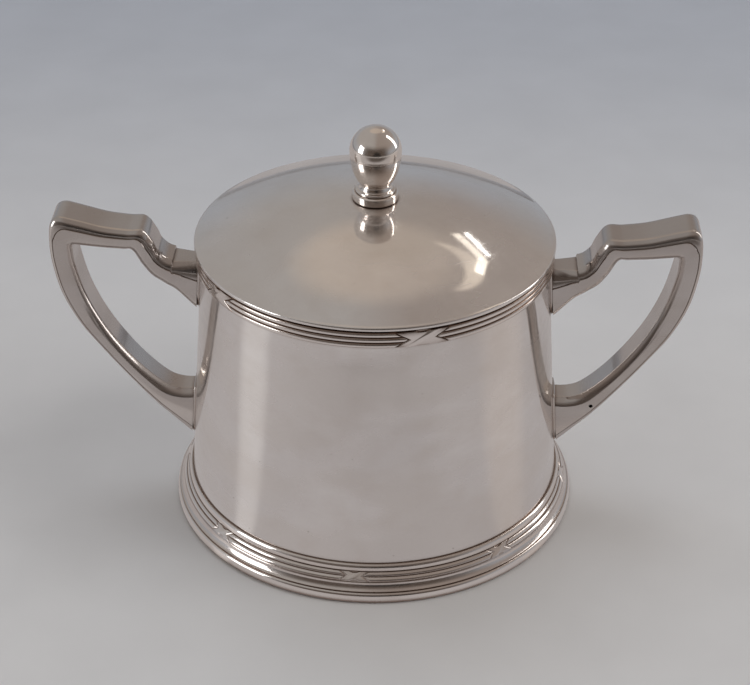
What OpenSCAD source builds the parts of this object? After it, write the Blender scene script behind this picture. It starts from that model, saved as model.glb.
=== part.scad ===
// Two-handled covered sugar bowl, silver-plated sheet metal.
// Origin: centre of the foot on the table. +Z up, handles along X, front is -Y.

/* [Bowl] */
// Height from the table to the top of the rim
rim_z = 81; // [76:0.5:86]
// Outside radius of the wall just under the rim moulding
wall_top_r = 47.9; // [46:0.1:49]
// Outside radius of the wall where the foot moulding begins
wall_foot_r = 52.6; // [51.5:0.1:54]
// Thickness of the spun sheet
sheet = 0.9; // [0.7:0.05:1.2]
// Height of the floor's underside above the table
floor_z = 3; // [2.5:0.1:4]

/* [Mouldings] */
// Height of the reeded strip under the rim
rim_strip_h = 4.6; // [4:0.1:6]
// Outside radius over the reeds of the rim strip
rim_strip_r = 49.2; // [48.9:0.1:50]
// Height of the foot moulding
foot_h = 10.2; // [9:0.1:12]
// Outside radius of the foot
foot_r = 57.4; // [56.5:0.1:60]
// Number of ribbon crossings round the rim
rim_crossings = 5; // [4:1:8]
// Number of ribbon crossings round the foot
foot_crossings = 8; // [6:1:10]
// Turn of the first rim crossing from the front
rim_phase = 16.5; // [0:0.5:45]
// Turn of the first foot crossing from the front
foot_phase = -3.5; // [-20:0.5:20]

/* [Lid] */
// Outside radius of the lid's edge
lid_r = 49.5; // [49:0.1:50.5]
// Height of the lid's rounded edge
lid_edge_h = 1.2; // [1:0.1:1.8]
// Rise of the dome above the lid's edge
dome_rise = 11.3; // [9:0.1:13]
// Outside radius of the locating hoop
bezel_r = 46.5; // [45:0.1:46.7]
// Depth of the locating hoop below the rim
bezel_drop = 5; // [3:0.5:8]

/* [Knob] */
// Radius of the ball
ball_r = 7.05; // [6:0.05:8]
// Height of the ball's centre above the dome's crown
ball_up = 14.1; // [12:0.1:16]
// Radius of the collar
collar_r = 6.2; // [5.5:0.05:7]
// Height of the collar
collar_h = 2.5; // [2:0.1:3]
// Thread diameter of the stud
stud_d = 4; // [3:0.5:5]

/* [Handles] */
// Reach of a handle from the centre of the bowl
handle_reach = 88.7; // [84:0.1:92]
// Thickness of the handle shells
handle_sheet = 0.8; // [0.6:0.1:1]
// Thickness of the pads on the wall
pad_t = 0.7; // [0.5:0.1:1]
// Diameter of the vent hole in the right handle
vent_d = 1; // [0.8:0.1:1.5]

/* [Hidden] */
$fn = 96;
silver = "#c9c2ba";
silver_dark = "#a89f95";
silver_warm = "#d6cec3";
steps = 12;               // chords in each moulded quarter or half round
hair = 0.1;               // gap between the lid and what it rests on
film = 0.02;              // solder film between curved faces

// ---- Shared outline of the wall -------------------------------------------
strip_z = rim_z - rim_strip_h;
flare_z = foot_h + 5.5;                       // the wall flares out below this height
taper = (wall_foot_r - 0.45 - wall_top_r) / (strip_z - flare_z);
flare_r = wall_top_r + taper * (strip_z - flare_z);

// Outside radius of the wall at height z
function wall_r(z) =
    z >= strip_z ? wall_top_r :
    z >= flare_z ? wall_top_r + taper * (strip_z - z) :
    z >= foot_h ? flare_r + taper * (flare_z - z)
                  + (wall_foot_r - flare_r - taper * (flare_z - foot_h))
                    * pow((flare_z - z) / (flare_z - foot_h), 2) :
    wall_foot_r;

flare_zs = [for (i = [0 : steps]) foot_h + (flare_z - foot_h) * i / steps];
flare_pts = [for (z = flare_zs) [wall_r(z), z]];

// Points of a round bulge from a to b; bulge is its height over the chord
function bulge_pts(a, b, bulge, n = steps) =
    let (d = b - a, len = norm(d), nrm = [d[1], -d[0]] / len)
    [for (i = [0 : n]) a + d * (1 - cos(180 * i / n)) / 2 + nrm * bulge * sin(180 * i / n)];

// ---- Bowl ------------------------------------------------------------------
corner_r = 3.2;                               // outside radius between wall and floor

module cup_outline() {
    corner = [for (i = [0 : steps]) [wall_foot_r - corner_r + corner_r * sin(90 * i / steps),
                                     floor_z + corner_r - corner_r * cos(90 * i / steps)]];
    inner_r = corner_r - sheet;
    inner = [for (i = [steps : -1 : 0])
             [wall_foot_r - corner_r + inner_r * sin(90 * i / steps),
              floor_z + corner_r - inner_r * cos(90 * i / steps)]];
    inner_flare = [for (i = [steps : -1 : 0]) [wall_r(flare_zs[i]) - sheet, flare_zs[i]]];
    polygon(concat([[0, floor_z]], corner, flare_pts,
                   [[wall_top_r, strip_z], [wall_top_r, rim_z], [wall_top_r - sheet, rim_z],
                    [wall_top_r - sheet, strip_z]],
                   inner_flare, inner, [[0, floor_z + sheet]]));
}

module bowl_shell() {
    color(silver) rotate_extrude() cup_outline();
}

// A pair of flat ribbons crossed over a strip, standing at the front of it
module ribbon_cross(r, z, h, lean, w, t) {
    translate([0, -r, z]) rotate([lean, 0, 0])
        for (tilt = [-58, 58])
            rotate([0, tilt, 0]) translate([-w / 2, -t / 2, -h / 2]) cube([w, t, h]);
}

reed_h = rim_strip_h / 3;

module rim_outline() {
    back = rim_strip_r - 0.45;
    reeds = [for (k = [0 : 2]) each
             bulge_pts([back, strip_z + reed_h * k], [back, strip_z + reed_h * (k + 1)], 0.45)];
    polygon(concat([[wall_top_r, strip_z]], reeds, [[wall_top_r, rim_z]]));
}

module rim_moulding() {
    color(silver_warm) {
        rotate_extrude() rim_outline();
        for (k = [0 : rim_crossings - 1])
            rotate([0, 0, rim_phase + k * 360 / rim_crossings])
                ribbon_cross(rim_strip_r - 0.35, strip_z + rim_strip_h / 2, 6.6, 0, 1.2, 0.8);
    }
}

// Heights and radii of the foot moulding, from its top down
bead_z = 8.1;              // bottom of the upper bead
reed_low_z = 6.0;          // bottom of the two fine reeds
cove_z = 3.6;              // bottom of the cove
stand_r = 54.4;            // inner radius of the ring that touches the table

module foot_outline() {
    bead_r = 53.5;
    reed_low_r = 55.3;
    cove_r = 56.7;
    top = [wall_foot_r + 0.25, foot_h];
    upper_bead = bulge_pts([bead_r, bead_z], top, 0.5);
    mid = [(bead_r + reed_low_r) / 2, (bead_z + reed_low_z) / 2];
    low_reed = bulge_pts([reed_low_r, reed_low_z], mid, 0.3);
    high_reed = bulge_pts(mid, [bead_r, bead_z], 0.3);
    cove = bulge_pts([cove_r, cove_z], [reed_low_r + 0.15, reed_low_z - 0.25], -0.35);
    lower_bead = bulge_pts([foot_r - 0.9, 0], [foot_r - 0.9, cove_z - 0.35], 0.9);
    polygon(concat([[stand_r, 0]], lower_bead, cove, low_reed, high_reed, upper_bead,
                   [[wall_foot_r, foot_h], [wall_foot_r, floor_z + corner_r],
                    [stand_r, floor_z]]));
}

module foot_moulding() {
    color(silver_warm) {
        rotate_extrude() foot_outline();
        for (k = [0 : foot_crossings - 1])
            rotate([0, 0, foot_phase + k * 360 / foot_crossings])
                ribbon_cross(54.5, 7.1, 6.2, -41, 1.0, 0.8);
    }
}

// ---- Handles -----------------------------------------------------------------
// A handle is a loft through stations. A station is [outer x, outer z, inner x, inner z,
// half width]: outer is the face away from the opening, inner the face towards it.
k_reach = handle_reach / 88.7;
upper_arm = [[46.0, 74.5, 46.0, 56.5, 4.9], [50.2, 74.6, 50.2, 60.6, 5.1],
             [53.6, 74.8, 54.6, 65.6, 5.6], [55.3, 74.9, 56.7, 67.35, 5.95]];
lip = [[55.5, 75.7, 56.8, 67.4, 6.0], [57.4, 76.4, 58.6, 68.7, 6.1],
       [59.3, 78.3, 61.4, 70.8, 6.2], [60.6, 81.2, 63.9, 74.2, 6.3]];
top_bar = [[63.2, 84.7, 66.4, 78.5, 6.4], [67.5, 84.9, 69.0, 78.8, 6.4],
           [74.0, 85.7, 74.5, 79.2, 6.5], [80.5, 87.4, 79.6, 79.8, 6.6],
           [85.8, 88.7, 82.2, 80.2, 6.7]];
outer_arc = [[88.7, 85.6, 82.7, 78.9, 6.7], [88.6, 76.0, 82.3, 73.6, 6.6],
             [86.6, 65.5, 80.2, 65.0, 6.3], [82.4, 55.8, 76.8, 56.8, 6.0],
             [76.8, 47.5, 72.2, 49.0, 5.8], [69.8, 38.2, 66.0, 41.0, 5.6],
             [62.6, 29.4, 59.6, 35.0, 5.4], [56.8, 23.4, 55.2, 33.2, 5.2],
             [50.0, 16.6, 50.0, 33.2, 5.0]];

// Catmull-Rom spline through the stations of one leg
function spline(p, i, t) =
    let (a = p[max(i - 1, 0)], b = p[i], c = p[i + 1], d = p[min(i + 2, len(p) - 1)])
    b + (c - a) * t / 2 + (2 * a - 5 * b + 4 * c - d) * t * t / 2
      + (3 * b - a - 3 * c + d) * t * t * t / 2;
function leg(p, n) = concat([for (i = [0 : len(p) - 2], k = [0 : n - 1]) spline(p, i, k / n)],
                            [p[len(p) - 1]]);
stations = concat(leg(upper_arm, 4), leg(lip, 4), leg(top_bar, 3), leg(outer_arc, 4));

outer_bevel = 2.1;         // bulging bevel beside the outer face, across the handle
outer_bevel_share = 0.33;  // its depth as a share of the section's height
ledge = 0.3;               // step out from that bevel to the side face
inner_bevel = 1.5;         // bevel beside the inner face, across the handle
inner_bevel_share = 0.27;  // its depth as a share of the section's height
inner_bevel_max = 1.8;     // and its greatest depth

// Section of a half shell as [across, down] points: outer skin, then inner skin
function half_section(w, h) =
    let (t = handle_sheet, low = h * outer_bevel_share,
         up = h - min(h * inner_bevel_share, inner_bevel_max),
         shoulder = [w - outer_bevel * 0.36, low * 0.28])
    [[0, 0], [w - outer_bevel, 0], shoulder, [w - ledge, low], [w, low + ledge / 2], [w, up],
     [w - inner_bevel, h], [0, h], [0, h - t], [w - inner_bevel - t / 3, h - t],
     [w - ledge - t, up - t / 3], [w - ledge - t, low + ledge], [w - ledge - t, low],
     shoulder + [-t, t * 0.6], [w - outer_bevel - t / 3, t], [0, t]];

// Ring of points of a half shell at one station, on the side of y = side
function half_ring(s, side) =
    let (o = [s[0] * k_reach, s[1]], i = [s[2] * k_reach, s[3]], h = norm(i - o), u = (i - o) / h)
    [for (q = half_section(s[4], h)) [o[0] + u[0] * q[1], side * q[0], o[1] + u[1] * q[1]]];

module half_shell(side) {
    n = len(stations);
    pts = [for (s = stations) each half_ring(s, side)];
    m = len(pts) / n;
    walls = [for (i = [0 : n - 2], j = [0 : m - 1])
             let (a = i * m + j, b = i * m + (j + 1) % m)
             each [[a, b, b + m], [a, b + m, a + m]]];
    near_cap = [for (j = [0 : m / 2 - 2]) each
                [[j, m - 2 - j, j + 1], [j, m - 1 - j, m - 2 - j]]];
    far_cap = [for (f = near_cap) [for (v = [2 : -1 : 0]) f[v] + (n - 1) * m]];
    faces = concat(walls, near_cap, far_cap);
    polyhedron(pts, side < 0 ? [for (f = faces) [for (v = [len(f) - 1 : -1 : 0]) f[v]]] : faces);
}

// Everything inside the wall's outside face, grown by g
module bowl_solid(g) {
    rotate_extrude()
        polygon(concat([[0, foot_h - 6], [wall_foot_r + g, foot_h - 6]],
                       [for (p = flare_pts) p + [g, 0]],
                       [[wall_top_r + g, strip_z], [wall_top_r + g, rim_z], [0, rim_z]]));
}

module handle_half(side) {
    difference() {
        half_shell(side);
        bowl_solid(pad_t);
    }
}

module left_handle_front() { color(silver) mirror([1, 0, 0]) handle_half(-1); }
module left_handle_rear() { color(silver_dark) mirror([1, 0, 0]) handle_half(1); }
module right_handle_rear() { color(silver_dark) handle_half(1); }
module right_handle_front() {
    vent_at = [61.6 * k_reach, 31.6];
    color(silver) difference() {
        handle_half(-1);
        translate([vent_at[0], -3, vent_at[1]]) rotate([90, 0, 0]) cylinder(h = 6, d = vent_d);
    }
}

// A tongue-shaped plate bent to the wall: top and tip are its heights, half_w its half width
module pad(top, tip, half_w) {
    shoulder = tip + half_w * 1.3;
    round_pts = [for (i = [0 : 2 * steps]) let (a = 180 * i / (2 * steps))
                 [half_w * cos(a), shoulder - (shoulder - tip) * sin(a)]];
    intersection() {
        difference() {
            bowl_solid(pad_t);
            bowl_solid(0);
        }
        rotate([90, 0, 90]) linear_extrude(height = foot_r)
            polygon(concat([[-half_w, top], [half_w, top]], round_pts));
    }
}

module upper_pad() { pad(75.8, 59.3, 5.2); }
module lower_pad() { pad(34.6, 17.2, 5.4); }
module right_upper_pad() { color(silver_warm) upper_pad(); }
module right_lower_pad() { color(silver_warm) lower_pad(); }
module left_upper_pad() { color(silver_warm) mirror([1, 0, 0]) upper_pad(); }
module left_lower_pad() { color(silver_warm) mirror([1, 0, 0]) lower_pad(); }

// ---- Lid ----------------------------------------------------------------------
seat_z = rim_z + hair;
edge_z = seat_z + 0.4;                        // underside of the overhanging edge
edge_top_z = edge_z + lid_edge_h;
seat_r = 48.4;                                // radius of the flange that rests on the rim
bead_in_r = 47.8;                             // inside radius of the lid's thickened edge
dome_edge_r = lid_r - 0.35;
dome_r = (pow(dome_edge_r, 2) + pow(dome_rise, 2)) / (2 * dome_rise);
crown_z = edge_top_z + dome_rise;
centre_z = crown_z - dome_r;
dome_steps = 40;

// Point of the dome's outside face at radius r, sunk by t
function dome_pt(r, t = 0) = [r, centre_z + sqrt(pow(dome_r - t, 2) - r * r)];

module lid_dome() {
    hole_r = stud_d / 2 + 0.05;
    outside = [for (i = [0 : dome_steps])
               dome_pt(hole_r + (dome_edge_r - hole_r) * i / dome_steps)];
    inside = [for (i = [dome_steps : -1 : 0])
              dome_pt(hole_r + (bead_in_r - hole_r) * i / dome_steps, sheet)];
    edge = bulge_pts([dome_edge_r, edge_z], [dome_edge_r, edge_top_z], -(dome_edge_r - lid_r));
    edge_down = [for (i = [steps : -1 : 0]) edge[i]];
    color(silver) rotate_extrude()
        polygon(concat(outside, edge_down, [[bead_in_r, edge_z]], inside));
}

// Hoop that drops into the bowl, with a flange that the lid sits on
module lid_bezel() {
    inner_r = bezel_r - sheet;
    color(silver_dark) rotate_extrude()
        polygon([[inner_r, rim_z - bezel_drop], [bezel_r, rim_z - bezel_drop],
                 [bezel_r, seat_z], [seat_r, seat_z], [seat_r, edge_z - film],
                 [bezel_r, edge_z - film], dome_pt(bezel_r, sheet + film),
                 dome_pt(inner_r, sheet + film)]);
}

collar_z = dome_pt(collar_r, -film)[1];
neck_r = 4.3;
ball_z = crown_z + ball_up;
pear_h = 11.8;                                // half height of the pear below the ball
collar_top_z = collar_z + collar_h;
neck_z = ball_z - pear_h * sqrt(1 - pow(neck_r / ball_r, 2));

module knob_collar() {
    hole_r = stud_d / 2 + 0.05;
    under = [for (i = [0 : 6]) dome_pt(hole_r + (collar_r - hole_r) * i / 6, -film)];
    side = bulge_pts([collar_r - 0.25, collar_z], [collar_r - 0.25, collar_top_z - 0.3], 0.25);
    color(silver_dark) rotate_extrude()
        polygon(concat(under, side, [[collar_r - 0.6, collar_top_z], [hole_r, collar_top_z]]));
}

nut_t = 2.4;
washer_t = 0.6;
washer_r = 5.5;
washer_top_z = dome_pt(washer_r, sheet + film)[1];
stud_bottom_z = washer_top_z - washer_t - nut_t - 1;

module knob() {
    ogee = [[5.45, collar_top_z], [5.35, collar_top_z + 0.4], [4.7, neck_z - 0.9]];
    pear = [for (i = [0 : steps]) let (a = -asin((ball_z - neck_z) / pear_h) * (1 - i / steps))
            [ball_r * cos(a), ball_z + pear_h * sin(a)]];
    ball = [for (i = [1 : 2 * steps]) let (a = 90 * i / (2 * steps))
            [ball_r * cos(a), ball_z + ball_r * sin(a)]];
    color(silver_warm) union() {
        rotate_extrude() polygon(concat([[0, collar_top_z]], ogee, pear, ball));
        translate([0, 0, stud_bottom_z])
            cylinder(h = collar_top_z + 1 - stud_bottom_z, d = stud_d);
    }
}

module knob_washer() {
    color(silver_dark) translate([0, 0, washer_top_z - washer_t]) difference() {
        cylinder(h = washer_t, r = washer_r);
        translate([0, 0, -1]) cylinder(h = washer_t + 2, d = stud_d + 0.2);
    }
}

module knob_nut() {
    across_flats = 7;
    color(silver_dark) translate([0, 0, washer_top_z - washer_t - nut_t]) difference() {
        cylinder(h = nut_t, d = across_flats / cos(30), $fn = 6);
        translate([0, 0, -1]) cylinder(h = nut_t + 2, d = stud_d + 0.02);
    }
}

bowl_shell();
rim_moulding();
foot_moulding();
left_handle_front();
left_handle_rear();
right_handle_front();
right_handle_rear();
left_upper_pad();
left_lower_pad();
right_upper_pad();
right_lower_pad();
lid_dome();
lid_bezel();
knob();
knob_collar();
knob_washer();
knob_nut();
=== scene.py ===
"""Looks of a two-handled covered sugar bowl in silver plate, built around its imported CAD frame.

Lengths are in millimetres until a mesh is made. The bowl stands on z = 0 with its axis on z,
its handles lie along x, and azimuths are turned from the front, -y, towards +x.
"""
import math

import bmesh
import bpy
from mathutils import Matrix, Vector


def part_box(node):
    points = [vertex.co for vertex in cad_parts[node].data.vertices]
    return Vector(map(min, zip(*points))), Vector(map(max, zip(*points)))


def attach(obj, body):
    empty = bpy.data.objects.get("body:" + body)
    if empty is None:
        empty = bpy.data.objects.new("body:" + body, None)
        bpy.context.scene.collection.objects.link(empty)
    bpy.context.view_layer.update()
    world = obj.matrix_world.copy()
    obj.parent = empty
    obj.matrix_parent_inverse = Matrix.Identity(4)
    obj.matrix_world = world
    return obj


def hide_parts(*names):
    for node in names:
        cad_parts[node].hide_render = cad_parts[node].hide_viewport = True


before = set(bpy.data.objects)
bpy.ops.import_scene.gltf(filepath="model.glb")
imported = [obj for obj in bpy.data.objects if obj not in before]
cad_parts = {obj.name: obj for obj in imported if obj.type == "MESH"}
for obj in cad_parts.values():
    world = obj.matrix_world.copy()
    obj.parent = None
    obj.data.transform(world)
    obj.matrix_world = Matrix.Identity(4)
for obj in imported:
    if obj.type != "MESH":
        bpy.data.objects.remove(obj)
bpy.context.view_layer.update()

MM = 0.001


# ---- Sizes taken from the frame ----------------------------------------------------------
def low_high(node):
    """Lowest and highest corner of a CAD node, in millimetres."""
    low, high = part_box(node)
    return low / MM, high / MM


bowl_low, bowl_high = low_high("bowl_shell")
rim_low, rim_high = low_high("rim_moulding")
foot_low, foot_high = low_high("foot_moulding")
lid_low, lid_high = low_high("lid_dome")
bezel_low, bezel_high = low_high("lid_bezel")
knob_low, knob_high = low_high("knob")
collar_low, collar_high = low_high("knob_collar")
washer_low, washer_high = low_high("knob_washer")
nut_low, nut_high = low_high("knob_nut")
_, handle_high = low_high("right_handle_front")

SHEET = 0.9                                   # thickness of the spun sheet
GAP = 0.02                                    # left between pieces that touch
RIM_Z = bowl_high.z
STRIP_Z = rim_low.z
STRIP_R = (rim_high.x - rim_low.x) / 2
WALL_TOP_R = STRIP_R - 1.3                    # the rim strip stands this proud of the wall
WALL_FOOT_R = (bowl_high.x - bowl_low.x) / 2
FOOT_H = foot_high.z
FOOT_R = (foot_high.x - foot_low.x) / 2
FLARE_Z = FOOT_H + 5.5                        # the wall flares out below this height
FLARE_REACH = 0.45                            # how far the flare leaves the straight wall
TAPER = (WALL_FOOT_R - FLARE_REACH - WALL_TOP_R) / (STRIP_Z - FLARE_Z)
FLARE_R = WALL_TOP_R + TAPER * (STRIP_Z - FLARE_Z)


def wall_r(z):
    """Outside radius of the wall at a height."""
    if z >= STRIP_Z:
        return WALL_TOP_R
    if z >= FLARE_Z:
        return WALL_TOP_R + TAPER * (STRIP_Z - z)
    if z <= FOOT_H:
        return WALL_FOOT_R
    straight = FLARE_R + TAPER * (FLARE_Z - z)
    reach = WALL_FOOT_R - FLARE_R - TAPER * (FLARE_Z - FOOT_H)
    return straight + reach * ((FLARE_Z - z) / (FLARE_Z - FOOT_H)) ** 2


# ---- Outlines ----------------------------------------------------------------------------
def lerp(a, b, t):
    return a + (b - a) * t


def smooth(t):
    """0 below 0, 1 above 1, and a smooth rise between."""
    t = min(max(t, 0.0), 1.0)
    return t * t * (3 - 2 * t)


def line(a, b, steps):
    """Points from a to b, both included."""
    return [(lerp(a[0], b[0], i / steps), lerp(a[1], b[1], i / steps)) for i in range(steps + 1)]


def bulge(a, b, height, steps=10):
    """Points of a round bulge over the chord a to b, raised to the right of its direction."""
    along = Vector(b) - Vector(a)
    normal = Vector((along.y, -along.x)).normalized()
    points = []
    for i in range(steps + 1):
        turn = math.pi * i / steps
        point = Vector(a) + along * (1 - math.cos(turn)) / 2 + normal * height * math.sin(turn)
        points.append(tuple(point))
    return points


def curve(a, control, b, steps):
    """Points of a soft curve from a to b, both included, drawn towards a control point."""
    points = []
    for i in range(steps + 1):
        t = i / steps
        points.append(tuple(p * (1 - t) ** 2 + q * 2 * t * (1 - t) + r * t * t
                            for p, q, r in zip(a, control, b)))
    return points


def rounded(corners, steps=5, closed=True):
    """Outline through corners (x, y, radius). A corner with a radius becomes steps + 1 points."""
    points = []
    count = len(corners)
    for k, (x, y, radius) in enumerate(corners):
        corner = Vector((x, y))
        if radius <= 0 or (not closed and k in (0, count - 1)):
            points.append((x, y))
            continue
        before = Vector(corners[k - 1][:2]) - corner
        after = Vector(corners[(k + 1) % count][:2]) - corner
        cut = radius / max(math.tan(before.angle(after) / 2), 0.05)
        start = corner + before.normalized() * min(cut, 0.48 * before.length)
        end = corner + after.normalized() * min(cut, 0.48 * after.length)
        points += curve(start, corner, end, steps)
    return points


# ---- Meshes ------------------------------------------------------------------------------
def piece(name, verts, faces, body, slot, node, sharp_angle=40):
    """An object from millimetre vertices that rides on a body and stands for a CAD node."""
    mesh = bpy.data.meshes.new(name)
    mesh.from_pydata([Vector(v) * MM for v in verts], [], faces)
    shell = bmesh.new()
    shell.from_mesh(mesh)
    bmesh.ops.remove_doubles(shell, verts=shell.verts, dist=0.0005 * MM)
    bmesh.ops.recalc_face_normals(shell, faces=shell.faces)
    shell.to_mesh(mesh)
    shell.free()
    mesh.shade_smooth()
    mesh.set_sharp_from_angle(angle=math.radians(sharp_angle))
    made = bpy.data.objects.new(name, mesh)
    bpy.context.scene.collection.objects.link(made)
    mesh.materials.append(MATERIALS[slot])
    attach(made, body)
    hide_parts(node)
    return made


def turned(outline_at, azimuths):
    """A turned solid. outline_at(azimuth) gives (radius, height) points; azimuths are in degrees.

    An outline that starts and ends on the axis is open there; any other one is closed."""
    verts, rings, shared = [], [], {}
    for azimuth in azimuths:
        sine, cosine = math.sin(math.radians(azimuth)), math.cos(math.radians(azimuth))
        ring = []
        for j, (r, z) in enumerate(outline_at(azimuth)):
            if r < 1e-4 and j in shared:
                ring.append(shared[j])
                continue
            if r < 1e-4:
                shared[j] = len(verts)
            ring.append(len(verts))
            verts.append((r * sine, -r * cosine, z))
        rings.append(ring)
    spans = len(rings[0]) - (1 if shared else 0)
    faces = []
    for i, ring in enumerate(rings):
        following = rings[(i + 1) % len(rings)]
        for j in range(spans):
            k = (j + 1) % len(ring)
            face = [ring[j], following[j], following[k], ring[k]]
            face = [v for n, v in enumerate(face) if v not in face[:n]]
            if len(face) > 2:
                faces.append(face)
    return verts, faces


def even_turn(steps):
    """Azimuths all round, evenly spaced."""
    return [360 * i / steps for i in range(steps)]


def crossing_turn(count, phase, fine_half, fine_step, coarse_step):
    """Azimuths round the bowl, closer together around each of count ribbon crossings."""
    pitch = 360 / count
    rest = pitch - 2 * fine_half
    fine = round(2 * fine_half / fine_step)
    coarse = round(rest / coarse_step)
    azimuths = []
    for k in range(count):
        start = phase + k * pitch - fine_half
        azimuths += [start + 2 * fine_half * i / fine for i in range(fine)]
        azimuths += [start + 2 * fine_half + rest * i / coarse for i in range(coarse)]
    return azimuths


def to_crossing(azimuth, count, phase):
    """Turn from the nearest crossing, in degrees."""
    pitch = 360 / count
    return (azimuth - phase + pitch / 2) % pitch - pitch / 2


# ---- Ribbon crossings --------------------------------------------------------------------
class Crossing:
    """Two broad ribbons crossed over a band of reeds.

    u runs along the band and v across it, from the crossing's centre; half is the band's half
    width. The reeds end in points at tip from the centre, cut off along the ribbons' edges."""

    def __init__(self, half, tip, slope, plate, facet):
        self.half = half
        self.tip = tip
        self.slope = slope
        self.plate = plate
        self.facet = facet

    def ribbon(self, u, v):
        """Height of the ribbons: a broad smooth plate with two facets cut into its edges."""
        crown = 1 - 0.25 * (v / self.half) ** 2
        side = (self.slope * u - v) * 1.2
        over = 0.16 * (smooth(side + 1.2) - smooth(side - 0.2))
        facet_u, facet_v = self.facet
        inside = 1 - (u / facet_u) ** 2 - ((self.half - abs(v)) / facet_v) ** 2
        return self.plate * (crown + over) * (1 - smooth(inside * 2.5))

    def height(self, u, v, reed):
        """Height of the ribbons or of a reed that ends at them, with a sunk seam between."""
        edge = abs(u) - self.tip - abs(v) / self.slope
        seam = math.exp(-((edge + 0.1) / 0.22) ** 2)
        blend = lerp(self.ribbon(u, v), reed, smooth(edge / 0.7 + 0.5))
        return blend * (1 - 0.75 * seam)


# ---- Materials ---------------------------------------------------------------------------
def add(tree, kind, links=None, **settings):
    """A shader node with its settings, and its inputs linked or set."""
    made = tree.nodes.new(kind)
    for key, value in settings.items():
        setattr(made, key, value)
    for socket, source in (links or {}).items():
        if isinstance(source, bpy.types.NodeSocket):
            tree.links.new(source, made.inputs[socket])
        else:
            made.inputs[socket].default_value = source
    return made


def ramp(tree, factor, stops):
    """A colour ramp through (position, grey) stops."""
    made = add(tree, "ShaderNodeValToRGB", {"Fac": factor})
    points = made.color_ramp.elements
    while len(points) < len(stops):
        points.new(0.5)
    for point, (position, grey) in zip(points, stops):
        point.position = position
        point.color = (grey, grey, grey, 1)
    return made.outputs["Color"]


def maths(tree, operation, a, b, clamp=False):
    made = add(tree, "ShaderNodeMath", {0: a, 1: b}, operation=operation, use_clamp=clamp)
    return made.outputs[0]


def span(tree, value, start, end):
    """0 at start, 1 at end, and a smooth rise between."""
    made = add(tree, "ShaderNodeMapRange", {"Value": value, "From Min": start, "From Max": end},
               interpolation_type="SMOOTHSTEP")
    return made.outputs["Result"]


def colour_mix(tree, factor, a, b, blend="MIX"):
    made = tree.nodes.new("ShaderNodeMix")
    made.data_type = "RGBA"
    made.blend_type = blend
    for index, source in ((0, factor), (6, a), (7, b)):
        if isinstance(source, bpy.types.NodeSocket):
            tree.links.new(source, made.inputs[index])
        else:
            made.inputs[index].default_value = source
    return made.outputs[2]


def noise(tree, coords, scale, detail=3.0, stretch=None, turn=(0, 0, 0)):
    """Noise in object space; scale is in cells per metre."""
    if stretch:
        mapped = add(tree, "ShaderNodeMapping", {"Vector": coords, "Rotation": turn,
                                                 "Scale": stretch})
        coords = mapped.outputs["Vector"]
    made = add(tree, "ShaderNodeTexNoise", {"Vector": coords, "Scale": scale, "Detail": detail})
    return made.outputs["Fac"]


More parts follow.
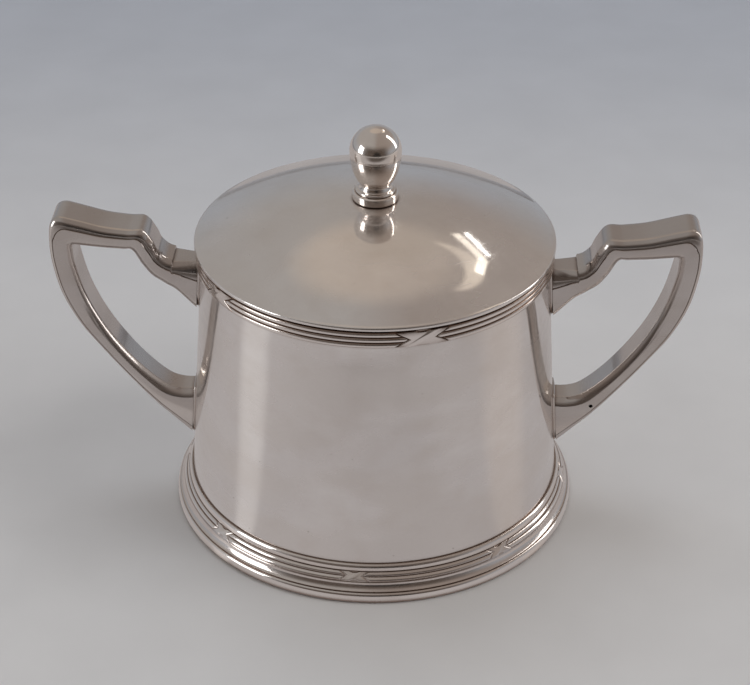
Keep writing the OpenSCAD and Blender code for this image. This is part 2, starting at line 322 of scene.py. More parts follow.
def silver(name, tint, rough, haze, tarnish_and_shade_strength, scratch, wave, reach=1.1):
    """Worn silver plate: a mirror lobe and a hazy one, hairlines, cloudy stains, and dark brown
    crevices, partly tarnished and partly painted shade.

    Crevices darken over a reach in millimetres; wave is the height of the sheet's swells."""
    material = bpy.data.materials.new(name)
    material.use_nodes = True
    tree = material.node_tree
    tree.nodes.clear()
    coords = add(tree, "ShaderNodeTexCoord").outputs["Object"]

    cloud = ramp(tree, noise(tree, coords, 34, 6), ((0.36, 0), (0.64, 1)))
    blotch = ramp(tree, noise(tree, coords, 130, 4), ((0.50, 0), (0.72, 1)))
    hair_a = ramp(tree, noise(tree, coords, 1, 2, (160, 160, 4200), (0.5, 0.3, 0.2)),
                  ((0.60, 0), (0.66, 1)))
    hair_b = ramp(tree, noise(tree, coords, 1, 2, (4600, 210, 170), (0.2, 0.9, 0.7)),
                  ((0.61, 0), (0.67, 1)))
    hairs = maths(tree, "MAXIMUM", hair_a, hair_b)
    patchy = ramp(tree, noise(tree, coords, 55, 2), ((0.42, 0.15), (0.62, 1)))
    hairs = maths(tree, "MULTIPLY", hairs, patchy)
    specks = ramp(tree, noise(tree, coords, 900, 1), ((0.80, 0), (0.82, 1)))
    smear = ramp(tree, noise(tree, coords, 1, 3, (26, 26, 75), (0.0, 0.75, 0.0)),
                 ((0.40, 0), (0.58, 1)))
    pits = ramp(tree, noise(tree, coords, 1500, 2), ((0.56, 0), (0.66, 1)))
    pits = maths(tree, "MULTIPLY", pits, ramp(tree, noise(tree, coords, 48, 3),
                                              ((0.55, 0), (0.66, 1))))

    # Crevices: ambient occlusion and the groove attribute darken hollows brown, partly tarnished
    # and partly painted shade.
    crevice = add(tree, "ShaderNodeAmbientOcclusion", {"Distance": reach * MM}, samples=6)
    tarnish_and_shade = ramp(tree, crevice.outputs["AO"],
                 ((0.15 + 0.2 * tarnish_and_shade_strength, 1), (0.86 + 0.03 * tarnish_and_shade_strength, 0)))
    groove = add(tree, "ShaderNodeAttribute", attribute_name="groove").outputs["Fac"]
    tarnish_and_shade = maths(tree, "MAXIMUM", tarnish_and_shade, groove)

    stained = colour_mix(tree, maths(tree, "MULTIPLY", cloud, 0.45),
                         (*tint, 1), (tint[0] * 0.84, tint[1] * 0.83, tint[2] * 0.84, 1))
    stained = colour_mix(tree, maths(tree, "MULTIPLY", smear, 0.40),
                         stained, (tint[0] * 0.86, tint[1] * 0.83, tint[2] * 0.80, 1))
    stained = colour_mix(tree, maths(tree, "MULTIPLY", blotch, 0.16),
                         stained, (tint[0] * 0.78, tint[1] * 0.72, tint[2] * 0.66, 1))
    stained = colour_mix(tree, maths(tree, "MULTIPLY", specks, 0.5), stained,
                         (0.16, 0.12, 0.09, 1))
    # Painted shade and tarnished brown: crevices mixed towards dark brown.
    metal = colour_mix(tree, tarnish_and_shade, stained, (0.22, 0.14, 0.10, 1))

    rough_value = maths(tree, "ADD", maths(tree, "MULTIPLY", cloud, 0.05), rough)
    rough_value = maths(tree, "ADD", rough_value, maths(tree, "MULTIPLY", hairs, 0.10))
    rough_value = maths(tree, "ADD", rough_value, maths(tree, "MULTIPLY", tarnish_and_shade, 0.22))

    swell = noise(tree, coords, 70, 1)
    wavy = add(tree, "ShaderNodeBump", {"Height": swell, "Strength": 1.0, "Distance": wave * MM})
    pitted = add(tree, "ShaderNodeBump", {"Height": pits, "Strength": 0.5,
                                          "Distance": 0.006 * MM,
                                          "Normal": wavy.outputs["Normal"]}, invert=True)
    scored = add(tree, "ShaderNodeBump", {"Height": hairs, "Strength": scratch,
                                          "Distance": 0.004 * MM,
                                          "Normal": pitted.outputs["Normal"]}, invert=True)
    mirror = add(tree, "ShaderNodeBsdfPrincipled",
                 {"Base Color": metal, "Metallic": 1.0, "Roughness": rough_value,
                  "Normal": scored.outputs["Normal"]})
    veil = add(tree, "ShaderNodeBsdfPrincipled",
               {"Base Color": metal, "Metallic": 1.0, "Roughness": 0.42,
                "Normal": wavy.outputs["Normal"]})
    patch = maths(tree, "MULTIPLY", maths(tree, "ADD", cloud, smear), haze)
    share = maths(tree, "ADD", patch, haze * 0.4)
    both = add(tree, "ShaderNodeMixShader", {0: share, 1: mirror.outputs[0], 2: veil.outputs[0]})
    out = add(tree, "ShaderNodeOutputMaterial")
    tree.links.new(both.outputs[0], out.inputs["Surface"])
    return material


def paper(name, near, far):
    """Pale studio paper, a little darker and cooler far behind the bowl, with a faint mottle."""
    material = bpy.data.materials.new(name)
    material.use_nodes = True
    tree = material.node_tree
    surface = tree.nodes["Principled BSDF"]
    coords = add(tree, "ShaderNodeTexCoord").outputs["Object"]
    place = add(tree, "ShaderNodeSeparateXYZ", {"Vector": coords})
    shade = colour_mix(tree, span(tree, place.outputs["Y"], 0.0, 0.40), (*near, 1), (*far, 1))
    mottle = ramp(tree, noise(tree, coords, 30, 3), ((0.3, 0.95), (0.7, 1.0)))
    shade = colour_mix(tree, 1.0, shade, mottle, "MULTIPLY")
    tree.links.new(shade, surface.inputs["Base Color"])
    surface.inputs["Roughness"].default_value = 0.9
    return material


# Tint, roughness, haze, strength of the tarnished brown and painted shade in crevices, scratches,
# swells and, where given, the crevices' reach.
SILVERS = {
    "silver_plate": ((0.925, 0.89, 0.87), 0.035, 0.20, 1.0, 0.15, 0.07),
    "silver_moulding": ((0.93, 0.875, 0.84), 0.06, 0.10, 2.2, 0.1, 0.01, 2.0),
    "silver_handle": ((0.655, 0.612, 0.588), 0.06, 0.15, 1.5, 0.2, 0.02),
    "silver_knob": ((0.95, 0.89, 0.84), 0.02, 0.05, 1.0, 0.3, 0.01),
    "silver_hidden": ((0.86, 0.78, 0.70), 0.20, 0.40, 1.0, 0.8, 0.02),
    "fastener": ((0.72, 0.60, 0.42), 0.28, 0.30, 1.0, 1.0, 0.02),
}
MATERIALS = {name: silver(name, *values) for name, values in SILVERS.items()}


# ---- Bowl --------------------------------------------------------------------------------
def bowl_outline(_azimuth):
    """From the middle of the underside out, up the wall, over the rim and down inside."""
    corner = 3.2
    low = bowl_low.z
    flare = [FOOT_H + (FLARE_Z - FOOT_H) * i / 12 for i in range(13)]
    under = rounded([(0, low, 0), (WALL_FOOT_R, low, corner), (WALL_FOOT_R, FOOT_H, 0)], 8, False)
    outer = [(wall_r(z), z) for z in flare]
    outer += line((FLARE_R, FLARE_Z), (WALL_TOP_R, STRIP_Z), 12)[1:]
    top = rounded([(WALL_TOP_R, STRIP_Z, 0), (WALL_TOP_R, RIM_Z, 0.35),
                   (WALL_TOP_R - SHEET, RIM_Z, 0.35), (WALL_TOP_R - SHEET, STRIP_Z, 0)], 4, False)
    inner = [(r - SHEET, z) for r, z in reversed(outer[:-1])]
    floor = rounded([(WALL_FOOT_R - SHEET, FOOT_H, 0), (WALL_FOOT_R - SHEET, low + SHEET, corner),
                     (0, low + SHEET, 0)], 8, False)
    return under[:-1] + outer[:-1] + top + inner[:-1] + floor


def build_bowl():
    verts, faces = turned(bowl_outline, even_turn(288))
    piece("bowl_wall", verts, faces, "bowl", "silver_plate", "bowl_shell")


# ---- Mouldings ---------------------------------------------------------------------------
RIM_CROSSINGS, RIM_PHASE = 5, 16.5
FOOT_CROSSINGS, FOOT_PHASE = 8, -3.5


def darken(made, share_at, count, phase, free):
    """Stores how far tarnished brown and painted shade darken each point of a moulding, less on
    its ribbon crossings.

    share_at(radius, height) is the share away from the crossings, and free is the distance in
    degrees from which a point counts as away."""
    groove = made.data.attributes.new("groove", "FLOAT", "POINT")
    for vertex, share in zip(made.data.vertices, groove.data):
        place = vertex.co / MM
        azimuth = math.degrees(math.atan2(place.x, -place.y))
        at_tie = lerp(0.35, 1, smooth(2 * abs(to_crossing(azimuth, count, phase)) / free - 1))
        share.value = share_at(math.hypot(place.x, place.y), place.z) * at_tie


def build_rim():
    """Three reeds under the rim, tied by broad crossed ribbons."""
    height = RIM_Z - STRIP_Z
    reed = height / 3
    depth = 0.6
    back = STRIP_R - depth
    tie = Crossing(half=height / 2, tip=3.7, slope=0.57, plate=0.54, facet=(2.0, 0.55))
    tie_reach = 9
    rows = 42

    def outline(azimuth):
        u = math.radians(to_crossing(azimuth, RIM_CROSSINGS, RIM_PHASE)) * STRIP_R
        points = [(WALL_TOP_R + GAP, RIM_Z), (WALL_TOP_R + GAP, STRIP_Z)]
        for i in range(rows + 1):
            v = height * i / rows
            phase = (v / reed) % 1 if 0 < i < rows else 0
            bead = depth * (1 - (2 * phase - 1) ** 2) ** 0.5
            edge = smooth(min(v, height - v) / 0.25)
            rise = bead if abs(u) > tie_reach else tie.height(u, v - height / 2, bead)
            share = lerp(edge, 1, abs(u) > tie_reach)
            points.append((back + min(rise, depth) * share, STRIP_Z + v))
        return points

    verts, faces = turned(outline, crossing_turn(RIM_CROSSINGS, RIM_PHASE, 11, 0.22, 1.2))
    made = piece("rim_reeding", verts, faces, "bowl", "silver_moulding", "rim_moulding")
    # The grooves between the reeds get tarnished brown and painted shade, deeper ones darker.
    darken(made, lambda r, _z: smooth(((STRIP_R - r) / depth - 0.05) / 0.32),
           RIM_CROSSINGS, RIM_PHASE, 8)


def build_foot():
    """Stepped foot: bead, two fine reeds tied by crossed ribbons, cove and a round lower bead."""
    top = (WALL_FOOT_R + 0.25, FOOT_H)
    bead_low = (FOOT_R - 3.9, FOOT_H - 2.1)
    reeds_low = (FOOT_R - 2.1, FOOT_H - 4.2)
    cove_low = (FOOT_R - 0.7, 3.6)
    stand_r = FOOT_R - 3.0
    lower = bulge((FOOT_R - 0.9, 0.0), (FOOT_R - 0.9, 3.25), 0.9, 14)
    cove = bulge(cove_low, (reeds_low[0] + 0.15, reeds_low[1] - 0.25), -0.35, 12)
    upper = bulge(bead_low, top, 0.5, 12)
    along = Vector(bead_low) - Vector(reeds_low)
    width = along.length
    normal = Vector((along.y, -along.x)).normalized()
    tie = Crossing(half=width / 2, tip=2.3, slope=0.75, plate=0.26, facet=(1.3, 0.5))
    depth = 0.3
    tie_reach = 6
    rows = 26
    mean_r = FOOT_R - 3.0

    def outline(azimuth):
        u = math.radians(to_crossing(azimuth, FOOT_CROSSINGS, FOOT_PHASE)) * mean_r
        reeds = []
        for i in range(rows + 1):
            t = i / rows
            phase = (2 * t) % 1 if 0 < i < rows else 0
            bead = depth * (1 - (2 * phase - 1) ** 2) ** 0.5
            rise = bead
            if abs(u) <= tie_reach:
                rise = tie.height(u, (t - 0.5) * width, bead)
                rise *= smooth(min(t, 1 - t) * width / 0.15)
            reeds.append(tuple(Vector(reeds_low) + along * t + normal * min(rise, depth)))
        inside = [(WALL_FOOT_R + GAP, FOOT_H), (WALL_FOOT_R + GAP, 6.2), (stand_r, 3.0)]
        return [(stand_r, 0.0)] + lower + cove + reeds + upper[1:] + inside

    verts, faces = turned(outline, crossing_turn(FOOT_CROSSINGS, FOOT_PHASE, 6.5, 0.2, 1.2))
    made = piece("foot_ring", verts, faces, "bowl", "silver_moulding", "foot_moulding")

    def share_at(r, z):
        """Painted shade with tarnished brown between the reeds, and stained in the cove."""
        if not cove_low[1] < z < bead_low[1] + 0.1:
            return 0.0
        if z < reeds_low[1] - 0.1:
            return 0.12
        sunk = depth - (Vector((r, z)) - Vector(reeds_low)).dot(normal)
        return 0.8 * smooth((sunk / depth - 0.05) / 0.5)

    darken(made, share_at, FOOT_CROSSINGS, FOOT_PHASE, 5)


# ---- Handles -----------------------------------------------------------------------------
# A station is (outer x, outer z, inner x, inner z, half width): the outer face is away from the
# opening and the inner face is towards it.
UPPER_ARM = [(46.0, 74.5, 46.0, 56.5, 4.9), (50.2, 74.6, 50.2, 60.6, 5.1),
             (53.6, 74.8, 54.6, 65.6, 5.6), (55.3, 74.9, 56.7, 67.35, 5.95)]
CAP = [(55.5, 75.7, 56.8, 67.4, 6.0), (57.4, 76.4, 58.6, 68.7, 6.1),
       (59.3, 78.3, 61.4, 70.8, 6.2), (60.6, 81.2, 63.9, 74.2, 6.3),
       (63.2, 84.7, 66.4, 78.5, 6.4), (67.5, 84.9, 69.0, 78.8, 6.4),
       (74.0, 85.7, 74.5, 79.2, 6.5), (80.5, 87.4, 79.6, 79.8, 6.6),
       (84.4, 88.4, 81.7, 80.1, 6.7)]
CORNER = (88.5, 89.3, 83.0, 80.3, 6.7)
OUTER_ARC = [(88.7, 84.2, 82.7, 78.2, 6.7), (88.6, 76.0, 82.3, 73.6, 6.6),
             (86.6, 65.5, 80.2, 65.0, 6.3), (82.4, 55.8, 76.8, 56.8, 6.0),
             (76.8, 47.5, 72.2, 49.0, 5.8), (69.8, 38.2, 66.0, 41.0, 5.6),
             (62.6, 29.4, 59.6, 35.0, 5.4), (56.8, 23.4, 55.2, 33.2, 5.2),
             (50.0, 16.6, 50.0, 33.2, 5.0)]
HANDLE_SHEET = 0.8                            # thickness of the half shells
PAD_T = 0.7                                   # thickness of the pads on the wall


def spline(stations, steps):
    """Catmull-Rom spline through stations."""
    points = []
    last = len(stations) - 1
    for i in range(last):
        a, b = stations[max(i - 1, 0)], stations[i]
        c, d = stations[i + 1], stations[min(i + 2, last)]
        for k in range(steps):
            t = k / steps
            points.append(tuple(
                q + (r - p) * t / 2 + (2 * p - 5 * q + 4 * r - s) * t * t / 2
                + (3 * q - p - 3 * r + s) * t ** 3 / 2 for p, q, r, s in zip(a, b, c, d)))
    return points + [stations[last]]


def resampled(points, count):
    """The same outline with another number of points, evenly spaced."""
    lengths = [0.0]
    for a, b in zip(points, points[1:]):
        lengths.append(lengths[-1] + math.dist(a, b))
    made, k = [], 0
    for i in range(count):
        along = lengths[-1] * i / (count - 1)
        while k < len(points) - 2 and lengths[k + 1] < along:
            k += 1
        t = (along - lengths[k]) / (lengths[k + 1] - lengths[k])
        made.append((lerp(points[k][0], points[k + 1][0], t),
                     lerp(points[k][1], points[k + 1][1], t)))
    return made


def half_section(half_w, depth, crisp, broad):
    """Outer and inner skin of a half shell, as (across, depth) points with equal counts.

    A bulging bevel runs beside the outer face and stands back from the side face by a fine
    ledge. crisp says how sharply it starts, and broad how wide it is. A second bevel runs
    beside the inner face."""
    t = HANDLE_SHEET
    low = depth * lerp(0.13, 0.33, broad)
    up = depth - min(depth * 0.34, 2.1)
    mid = (low + up) / 2
    start = half_w - lerp(0.8, 2.1, broad)
    outer = [(0, 0), (start - 0.9, 0), (start - 0.15, 0.01)]
    outer += curve((start, 0.03), (half_w - 0.5, low * lerp(0.10, 0.36, crisp)),
                   (half_w - 0.28, low), 9)
    outer += [(half_w - 0.40, low + 0.06), (half_w - 0.42, low + 0.14),
              (half_w - 0.12, low + 0.28), (half_w - 0.03, low + 0.34), (half_w, mid),
              (half_w - 0.05, up - 0.08)]
    outer += curve((half_w - 0.08, up), (half_w - 0.80, depth - 0.60),
                   (half_w - 1.8, depth - 0.10), 7)
    outer += [(half_w - 1.95, depth), (half_w - 2.1, depth), (0, depth)]
    inner = [(0, t), (start - t / 3, t), (half_w - t - 0.4, low), (half_w - t - 0.3, up - t / 3),
             (half_w - 1.8 - t / 3, depth - t), (0, depth - t)]
    return outer, resampled(inner, len(outer))


def pad_r(z):
    """Radius of the pads' outside face at a height."""
    return wall_r(z) + PAD_T


def handle_half(name, side, mirrored, node):
    """Half of a handle, cut to the pads on the wall. side is -1 in front and 1 behind.

    The sweep runs into the wall at both ends. Near them every line of it is drawn again, from
    where it comes out of the pad to a ring that stands free."""
    fine = 10
    arm = spline(UPPER_ARM, fine)
    cap = spline(CAP, 8)
    arc = spline(OUTER_ARC, fine)
    stations = arm + cap + curve(cap[-1], CORNER, arc[0], 9)[1:-1] + arc
    scale = handle_high.x / max(station[0] for station in stations)
    rings = []
    for k, (ox, oz, ix, iz, half_w) in enumerate(stations):
        crisp = smooth((66 - ox) / 5)
        broad = 1 - smooth((k - len(arm) - len(cap) - 3) / 9)
        ox, ix = ox * scale, ix * scale
        depth = math.hypot(ix - ox, iz - oz)
        dx, dz = (ix - ox) / depth, (iz - oz) / depth
        outer, inner = half_section(half_w, depth, crisp, broad)
        rings.append([Vector((ox + dx * d, side * a, oz + dz * d))
                      for a, d in outer + list(reversed(inner))])
    count = len(rings[0])
    first_free, last_free = 3 * len(arm) // 4, len(rings) - 1 - fine

    def at(j, place):
        """Point of line j at a place between two rings."""
        i = min(int(place), len(rings) - 2)
        return rings[i][j].lerp(rings[i + 1][j], place - i)

    def crossing(j, start, step):
        """Place along line j where it comes out of the wall."""
        place = start
        while math.hypot(rings[place][j].x, rings[place][j].y) < pad_r(rings[place][j].z):
            place += step
        low, high = place - step, place
        for _ in range(20):
            mid = (low + high) / 2
            point = at(j, mid)
            if math.hypot(point.x, point.y) < pad_r(point.z):
                low = mid
            else:
                high = mid
        return high

    steps = 14
    starts = [crossing(j, 0, 1) for j in range(count)]
    ends = [crossing(j, len(rings) - 1, -1) for j in range(count)]
    final = [[at(j, lerp(starts[j], first_free, k / steps)) for j in range(count)]
             for k in range(steps)]
    final += rings[first_free:last_free]
    final += [[at(j, lerp(last_free, ends[j], k / steps)) for j in range(count)]
              for k in range(steps + 1)]
    flip = -1 if mirrored else 1
    verts = [(flip * p.x, p.y, p.z) for ring in final for p in ring]
    faces = []
    for i in range(len(final) - 1):
        for j in range(count):
            k = (j + 1) % count
            a, b = i * count, (i + 1) * count
            faces.append([a + j, a + k, b + k, b + j])
    for base in (0, (len(final) - 1) * count):
        for j in range(count // 2 - 1):
            faces.append([base + j, base + j + 1, base + count - 2 - j, base + count - 1 - j])
    return piece(name, verts, faces, "bowl", "silver_handle", node, sharp_angle=50)


def drill(target, place, diameter, length):
    """Cuts a small round hole through a piece, along y."""
    mesh = bpy.data.meshes.new("drill")
    shape = bmesh.new()
    bmesh.ops.create_cone(shape, cap_ends=True, segments=24, radius1=diameter / 2 * MM,
                          radius2=diameter / 2 * MM, depth=length * MM)
    bmesh.ops.rotate(shape, verts=shape.verts, matrix=Vector((0, 0, 1)).rotation_difference(
        Vector((0, 1, 0))).to_matrix())
    bmesh.ops.translate(shape, verts=shape.verts, vec=Vector(place) * MM)
    shape.to_mesh(mesh)
    shape.free()
    cutter = bpy.data.objects.new("drill", mesh)
    bpy.context.scene.collection.objects.link(cutter)
    cut = target.modifiers.new("vent", "BOOLEAN")
    cut.operation = "DIFFERENCE"
    cut.solver = "EXACT"
    cut.object = cutter
    bpy.context.view_layer.update()
    result = bpy.data.meshes.new_from_object(target.evaluated_get(
        bpy.context.evaluated_depsgraph_get()))
    target.modifiers.clear()
    target.data = result
    bpy.data.objects.remove(cutter)


def pad(name, top, tip, half_w, mirrored, node):
    """A tongue-shaped plate bent to the wall, with a soft edge."""
    shoulder = tip + half_w * 1.3
    sides = [(half_w, shoulder), (half_w, top - 0.5), (half_w - 0.5, top), (-half_w + 0.5, top),
             (-half_w, top - 0.5), (-half_w, shoulder)]
    border = []
    for a, b in zip(sides, sides[1:]):
        border += line(a, b, 8)[:-1]
    for i in range(24):
        turn = math.pi * i / 24
        border.append((-half_w * math.cos(turn), shoulder - (shoulder - tip) * math.sin(turn)))
    middle = Vector((0, (top + shoulder) / 2))
    flip = -1 if mirrored else 1

    def bent(y, z, lift):
        r = wall_r(z) + lift
        return (flip * math.sqrt(r * r - y * y), y, z)

    verts, faces = [], []
    soft, solder = 0.45, 0.01
    for i in range(5):
        turn = math.pi / 2 * i / 4
        inset, lift = soft * (1 - math.cos(turn)), solder + (PAD_T - solder) * math.sin(turn)
        for y, z in border:
            inward = (middle - Vector((y, z))).normalized() * inset
            verts.append(bent(y + inward.x, z + inward.y, lift))
    count = len(border)
    for share in (0.66, 0.33):
        for y, z in border:
            point = middle.lerp(Vector((y, z)), share)
            verts.append(bent(point.x, point.y, PAD_T))
    verts.append(bent(middle.x, middle.y, PAD_T))
    last = 6 * count
    for a in range(0, last, count):
        for j in range(count):
            k = (j + 1) % count
            faces.append([a + j, a + k, a + count + k, a + count + j])
    for j in range(count):
        faces.append([last + j, last + (j + 1) % count, last + count])
    under = len(verts)
    for share in (0.66, 0.33):
        for y, z in border:
            point = middle.lerp(Vector((y, z)), share)
            verts.append(bent(point.x, point.y, solder))
    verts.append(bent(middle.x, middle.y, solder))
    for j in range(count):
        k = (j + 1) % count
        faces.append([k, j, under + j, under + k])
        faces.append([under + k, under + j, under + count + j, under + count + k])
        faces.append([under + count + k, under + count + j, under + 2 * count])
    piece(name, verts, faces, "bowl", "silver_handle", node)


VENT = (61.6, -5.4, 31.6)                     # middle of the vent hole's drill
VENT_D = 1.1


def build_handles():
    handle_half("left_handle_face", -1, True, "left_handle_front")
    handle_half("left_handle_back", 1, True, "left_handle_rear")
    handle_half("right_handle_back", 1, False, "right_handle_rear")
    vented = handle_half("right_handle_face", -1, False, "right_handle_front")
    drill(vented, VENT, VENT_D, length=8)
    for side, mirrored in (("left", True), ("right", False)):
        pad(f"{side}_upper_tongue", 75.8, 59.3, 5.2, mirrored, f"{side}_upper_pad")
        pad(f"{side}_lower_tongue", 34.6, 17.2, 5.4, mirrored, f"{side}_lower_pad")


# ---- Lid ---------------------------------------------------------------------------------
LID_R = (lid_high.x - lid_low.x) / 2
EDGE_H = 1.2
STUD_R = 2.0
EDGE_TOP_Z = lid_low.z + EDGE_H
DOME_EDGE_R = LID_R - 0.35
CROWN_Z = lid_high.z
DOME_RISE = CROWN_Z - EDGE_TOP_Z
DOME_R = (DOME_EDGE_R ** 2 + DOME_RISE ** 2) / (2 * DOME_RISE)


def dome_z(r, sunk=0.0):
    """Height of the dome's outside face at a radius, sunk by an amount."""
    return CROWN_Z - DOME_R + math.sqrt((DOME_R - sunk) ** 2 - r * r)


def dome_outline(_azimuth):
    hole = STUD_R + 0.05
    inner_r = DOME_EDGE_R - 1.35
    radii = [lerp(hole, DOME_EDGE_R, i / 48) for i in range(49)]
    outside = [(r, dome_z(r)) for r in radii]
    edge = bulge((DOME_EDGE_R, EDGE_TOP_Z), (DOME_EDGE_R, lid_low.z), -0.35, 10)
    inside = [(r, dome_z(r, SHEET)) for r in reversed(radii) if r < inner_r]
    return outside[:-1] + edge + [(inner_r + 0.1, lid_low.z), (inner_r, lid_low.z + 0.1),
                                  (inner_r, dome_z(inner_r, SHEET))] + inside


def bezel_outline(_azimuth):
    """Hoop that drops into the bowl, with a rolled lower edge, and the flange the lid sits on."""
    hoop_r = bezel_high.x - 1.9
    flange_r = bezel_high.x
    inner_r = hoop_r - SHEET
    seat_z = RIM_Z + 0.1
    return rounded([(inner_r, bezel_low.z, 0.35), (hoop_r, bezel_low.z, 0.35),
                    (hoop_r, seat_z, 0.15), (flange_r, seat_z, 0.1),
                    (flange_r, lid_low.z - GAP, 0.1), (hoop_r, lid_low.z - GAP, 0.1),
                    (hoop_r, dome_z(hoop_r, SHEET) - GAP, 0),
                    (inner_r, dome_z(inner_r, SHEET) - GAP, 0)], 4)


BALL_R = (knob_high.x - knob_low.x) / 2
BALL_Z = knob_high.z - BALL_R
COLLAR_R = (collar_high.x - collar_low.x) / 2
COLLAR_TOP = collar_high.z


def knob_outline(_azimuth):
    """Threaded stud, ogee, neck and the pear that runs into the ball."""
    neck_r, pear_h = 4.3, 11.8
    neck_z = BALL_Z - pear_h * math.sqrt(1 - (neck_r / BALL_R) ** 2)
    low = knob_low.z
    pitch, depth = 0.7, 0.25
    stud = [(0, low), (STUD_R - 0.5, low), (STUD_R - 0.1, low + 0.4)]
    turns = int((COLLAR_TOP - 2.9 - low) / pitch)
    for k in range(turns):
        z = low + 0.5 + k * pitch
        stud += [(STUD_R - GAP, z), (STUD_R - GAP, z + 0.1), (STUD_R - depth, z + 0.35)]
    stud += [(STUD_R - GAP, COLLAR_TOP - 2.2), (STUD_R - GAP, COLLAR_TOP + GAP)]
    ogee = rounded([(STUD_R, COLLAR_TOP + GAP, 0), (5.45, COLLAR_TOP + GAP, 0.15),
                    (5.4, COLLAR_TOP + 0.75, 0.4), (4.65, COLLAR_TOP + 1.0, 0.5),
                    (neck_r - 0.05, neck_z - 0.3, 0.6), (neck_r + 0.2, neck_z + 0.6, 0)], 5, False)
    low_turn = -math.asin((BALL_Z - neck_z - 0.6) / pear_h)
    pear = []
    for i in range(1, 25):
        turn = low_turn * (1 - i / 24)
        pear.append((BALL_R * math.cos(turn), BALL_Z + pear_h * math.sin(turn)))
    ball = []
    for i in range(1, 24):
        turn = math.pi / 2 * i / 24
        ball.append((BALL_R * math.cos(turn), BALL_Z + BALL_R * math.sin(turn)))
    return stud + ogee[1:] + pear + ball + [(0, BALL_Z + BALL_R)]


def collar_outline(_azimuth):
    hole = STUD_R + 0.05
    under = [(lerp(hole, COLLAR_R - 0.3, i / 8), dome_z(lerp(hole, COLLAR_R - 0.3, i / 8)) + GAP)
             for i in range(9)]
    low = dome_z(COLLAR_R) + 0.05
    side = rounded([(COLLAR_R - 0.3, low, 0), (COLLAR_R, low + 0.2, 0.25),
                    (COLLAR_R, COLLAR_TOP - 0.35, 0.3), (COLLAR_R - 0.35, COLLAR_TOP, 0.2),
                    (hole, COLLAR_TOP, 0)], 5, False)
    return under[:-1] + side


def build_lid():
    verts, faces = turned(dome_outline, even_turn(288))
    piece("lid_cover", verts, faces, "lid", "silver_plate", "lid_dome")
    verts, faces = turned(bezel_outline, even_turn(192))
    piece("lid_hoop", verts, faces, "lid", "silver_hidden", "lid_bezel")
    verts, faces = turned(knob_outline, even_turn(96))
    piece("knob_ball", verts, faces, "lid", "silver_knob", "knob")
    verts, faces = turned(collar_outline, even_turn(96))
    piece("knob_ring", verts, faces, "lid", "silver_knob", "knob_collar")


def build_fixings():
    """Washer and hexagonal nut under the lid."""
    hole = STUD_R + 0.1
    radius = (washer_high.x - washer_low.x) / 2
    ring = rounded([(hole, washer_low.z, 0.08), (radius, washer_low.z, 0.15),
                    (radius, washer_high.z, 0.15), (hole, washer_high.z, 0.08)], 3)
    verts, faces = turned(lambda _azimuth: ring, even_turn(64))
    piece("stud_washer", verts, faces, "lid", "fastener", "knob_washer")
    flat = (nut_high.y - nut_low.y) / 2
    top, low = nut_high.z, nut_low.z

    def nut_outline(azimuth):
        """The hexagon's corners are turned off to a cone at both faces."""
        from_flat = (azimuth % 60) - 30
        reach = flat / math.cos(math.radians(from_flat))
        chamfer = max(reach - flat, 0.0) * 0.6
        return [(STUD_R + GAP, low + 0.2), (STUD_R + 0.25, low), (flat - 0.1, low),
                (reach - 0.02, low + 0.06 + chamfer), (reach - 0.02, top - 0.06 - chamfer),
                (flat - 0.1, top), (STUD_R + 0.25, top), (STUD_R + GAP, top - 0.2)]

    verts, faces = turned(nut_outline, even_turn(72))
    piece("stud_nut", verts, faces, "lid", "fastener", "knob_nut", sharp_angle=25)


# ---- Stage, light and camera -------------------------------------------------------------
def disc(name, radius, height, material):
    """Flat disc around the bowl's axis, not attached to any body; sizes are in metres."""
    steps = 64
    verts = [(0, 0, height)]
    for i in range(steps):
        turn = 2 * math.pi * i / steps
        verts.append((radius * math.cos(turn), radius * math.sin(turn), height))
    faces = [[0, 1 + i, 1 + (i + 1) % steps] for i in range(steps)]
    mesh = bpy.data.meshes.new(name)
    mesh.from_pydata(verts, [], faces)
    made = bpy.data.objects.new(name, mesh)
    bpy.context.scene.collection.objects.link(made)
    mesh.materials.append(material)
    return made


def towards(azimuth, elevation=0.0):
    """Unit vector in a direction given in degrees."""
    turn, tilt = math.radians(azimuth), math.radians(elevation)
    return Vector((math.sin(turn) * math.cos(tilt), -math.cos(turn) * math.cos(tilt),
                   math.sin(tilt)))


def beam(tree, place, start, azimuth, half_width):
    """1 along a beam that leaves a point of the table in a direction, and 0 beside it."""
    away = add(tree, "ShaderNodeVectorMath", {0: place, 1: start}, operation="SUBTRACT")
    away = add(tree, "ShaderNodeVectorMath", {0: away.outputs[0]}, operation="NORMALIZE")
    share = add(tree, "ShaderNodeVectorMath", {0: away.outputs[0], 1: towards(azimuth)},
                operation="DOT_PRODUCT")
    return span(tree, share.outputs["Value"], math.cos(math.radians(half_width)),
                math.cos(math.radians(half_width / 4)))


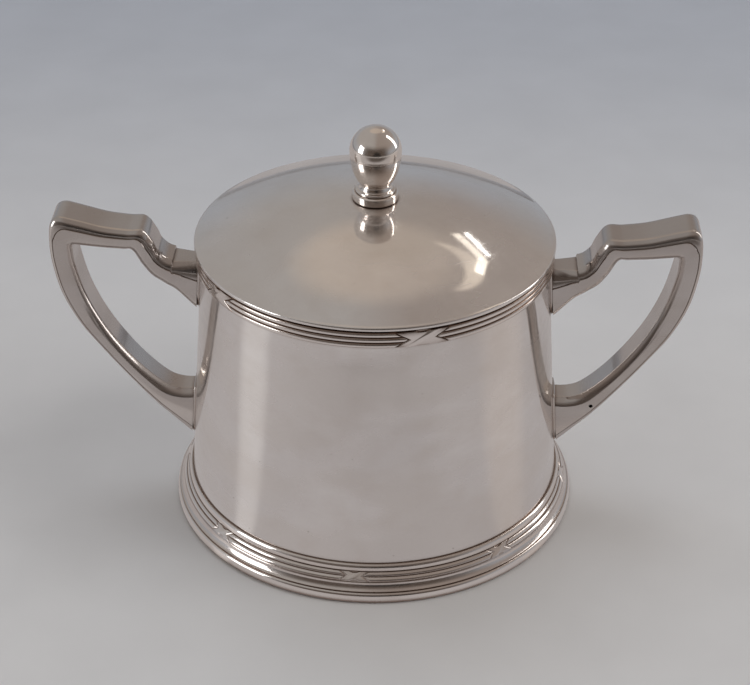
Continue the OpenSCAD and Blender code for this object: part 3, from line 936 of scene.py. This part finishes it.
def sheen():
    """The table as polished metal sees it: bright beams towards the windows, dark in front."""
    material = bpy.data.materials.new("table_sheen")
    material.use_nodes = True
    tree = material.node_tree
    tree.nodes.clear()
    place = add(tree, "ShaderNodeTexCoord").outputs["Object"]
    left = beam(tree, place, (-0.031, -0.038, 0), -80, 17)
    right = beam(tree, place, (0.036, -0.0345, 0), 91, 27)
    front = beam(tree, place, (0, -0.05, 0), 8, 62)
    parts = add(tree, "ShaderNodeSeparateXYZ", {"Vector": place})
    dark = maths(tree, "MULTIPLY", front, span(tree, parts.outputs["Y"], -0.18, -0.30))
    shade = colour_mix(tree, left, (0.420, 0.396, 0.392, 1), (0.585, 0.560, 0.550, 1))
    shade = colour_mix(tree, right, shade, (0.49, 0.450, 0.430, 1))
    shade = colour_mix(tree, dark, shade, (0.09, 0.075, 0.066, 1))
    glow = add(tree, "ShaderNodeEmission", {"Color": shade})
    out = add(tree, "ShaderNodeOutputMaterial")
    tree.links.new(glow.outputs[0], out.inputs["Surface"])
    return material


def build_stage():
    """Plain pale floor that fills the view from every side, and its sheen in the silver."""
    disc("studio_floor", 4.0, 0.0, paper("pale_paper", (0.76, 0.76, 0.765), (0.50, 0.53, 0.59)))
    seen = disc("table_sheen", 0.9, 0.0002, sheen())
    seen.visible_camera = False
    seen.visible_diffuse = False
    seen.visible_shadow = False


def circle_side(tree, way, a, b, c, soft):
    """1 inside the circle of directions through a, b and c, given as (azimuth, elevation)."""
    a, b, c = towards(*a), towards(*b), towards(*c)
    normal = (b - a).cross(c - a).normalized()
    if normal.z < 0:
        normal = -normal
    level = normal.dot(a)
    share = add(tree, "ShaderNodeVectorMath", {0: way, 1: normal}, operation="DOT_PRODUCT")
    return span(tree, share.outputs["Value"], level - soft, level + soft)


def build_sky():
    """Room light: cool and pale low down, warm overhead, dim in front where the viewer stands."""
    world = bpy.data.worlds.new("room")
    bpy.context.scene.world = world
    world.use_nodes = True
    tree = world.node_tree
    tree.nodes.clear()
    way = add(tree, "ShaderNodeTexCoord").outputs["Generated"]
    parts = add(tree, "ShaderNodeSeparateXYZ", {"Vector": way})
    up, back = parts.outputs["Z"], parts.outputs["Y"]
    high = span(tree, up, 0.05, 0.50)
    side = span(tree, parts.outputs["X"], 0.22, -0.22)
    above = colour_mix(tree, side, (0.290, 0.250, 0.225, 1), (0.367, 0.350, 0.335, 1))
    room = colour_mix(tree, high, (0.335, 0.352, 0.380, 1), above)
    glow = circle_side(tree, way, (157, 49), (180, 74), (206, 49), 0.022)
    lit = colour_mix(tree, side, (0.440, 0.378, 0.325, 1), (0.490, 0.425, 0.365, 1))
    room = colour_mix(tree, glow, room, lit)
    tips = (165.8, 46.6), (144.1, 60.6)
    outside = circle_side(tree, way, tips[0], (150.0, 46.5), tips[1], 0.002)
    inside = circle_side(tree, way, tips[0], (152.7, 50.0), tips[1], 0.002)
    curtain = maths(tree, "SUBTRACT", outside, inside, clamp=True)
    room = colour_mix(tree, curtain, room, (0.78, 0.68, 0.57, 1))
    front = span(tree, back, -0.25, -0.85)
    low = span(tree, up, 0.75, 0.35)
    dim = maths(tree, "MULTIPLY", front, low)
    room = colour_mix(tree, dim, room, (0.085, 0.066, 0.055, 1))
    viewer = add(tree, "ShaderNodeVectorMath", {0: way, 1: towards(8, 2)}, operation="DISTANCE")
    viewer = span(tree, viewer.outputs["Value"], 0.34, 0.22)
    room = colour_mix(tree, viewer, room, (0.018, 0.015, 0.013, 1))
    shown = add(tree, "ShaderNodeBackground", {"Color": room, "Strength": 1.0})
    out = add(tree, "ShaderNodeOutputWorld")
    tree.links.new(shown.outputs[0], out.inputs["Surface"])


WINDOW_AWAY = 1.5                             # metres from the bowl to every light


def window(name, start, end, width, colour, radiance, mirrored=True):
    """Soft rectangular light between two directions, turned to the bowl.

    A mirrored one is only seen in the silver, and any other one only lights the floor."""
    a, b = towards(*start), towards(*end)
    away = (a + b).normalized()
    along = (b - a).normalized()
    across = along.cross(away).normalized()
    length = (b - a).length * WINDOW_AWAY
    data = bpy.data.lights.new(name, "AREA")
    data.shape = "RECTANGLE"
    data.size, data.size_y = width, length
    data.color = colour
    data.energy = radiance * math.pi * width * length
    lamp = bpy.data.objects.new(name, data)
    lamp.location = away * WINDOW_AWAY + Vector((0, 0, 0.08))
    lamp.rotation_euler = Matrix((across, along, away)).transposed().to_euler()
    lamp.visible_glossy = mirrored
    lamp.visible_diffuse = not mirrored
    bpy.context.scene.collection.objects.link(lamp)


def build_lights():
    window("white_pane", (149.2, 42.0), (159.7, 37.6), 0.018, (1.0, 0.98, 0.94), 8.0)
    window("cream_pane", (148.4, 44.9), (161.6, 40.1), 0.055, (1.0, 0.93, 0.80), 1.4)
    window("cream_corner", (144.1, 50.2), (148.6, 44.6), 0.055, (1.0, 0.93, 0.80), 1.4)
    window("right_window", (108, -1), (117, 52), 0.30, (1.0, 0.99, 0.97), 3.2)
    window("left_window", (-68, -1), (-68, 27), 0.60, (0.98, 0.99, 1.0), 3.4)
    window("ceiling", (200, 42), (200, 82), 1.0, (0.80, 0.89, 1.0), 1.5, mirrored=False)
    window("right_fill", (80, 30), (80, 60), 0.80, (1.0, 0.99, 0.97), 3.1, mirrored=False)
    window("left_fill", (-70, 30), (-70, 60), 0.80, (0.97, 0.99, 1.0), 0.8, mirrored=False)


def build_camera():
    """Long lens, in front of the bowl, a little to the right and above."""
    azimuth, elevation, roll = 2.0, 31.66, 0.29
    distance, aim = 0.5642, Vector((0, 0, 0.05))
    away = towards(azimuth, elevation)
    data = bpy.data.cameras.new("camera")
    data.sensor_width = 36
    data.lens = 96
    data.shift_x, data.shift_y = 0.0004, -0.0088
    data.clip_start = 0.01
    camera = bpy.data.objects.new("camera", data)
    camera.location = aim + away * distance
    turn = away.to_track_quat("Z", "Y").to_matrix().to_4x4()
    camera.rotation_euler = (turn @ Matrix.Rotation(math.radians(roll), 4, "Z")).to_euler()
    bpy.context.scene.collection.objects.link(camera)
    bpy.context.scene.camera = camera


build_bowl()
build_rim()
build_foot()
build_handles()
build_lid()
build_fixings()
build_stage()
build_sky()
build_lights()
build_camera()
bpy.context.scene.view_settings.view_transform = "Standard"
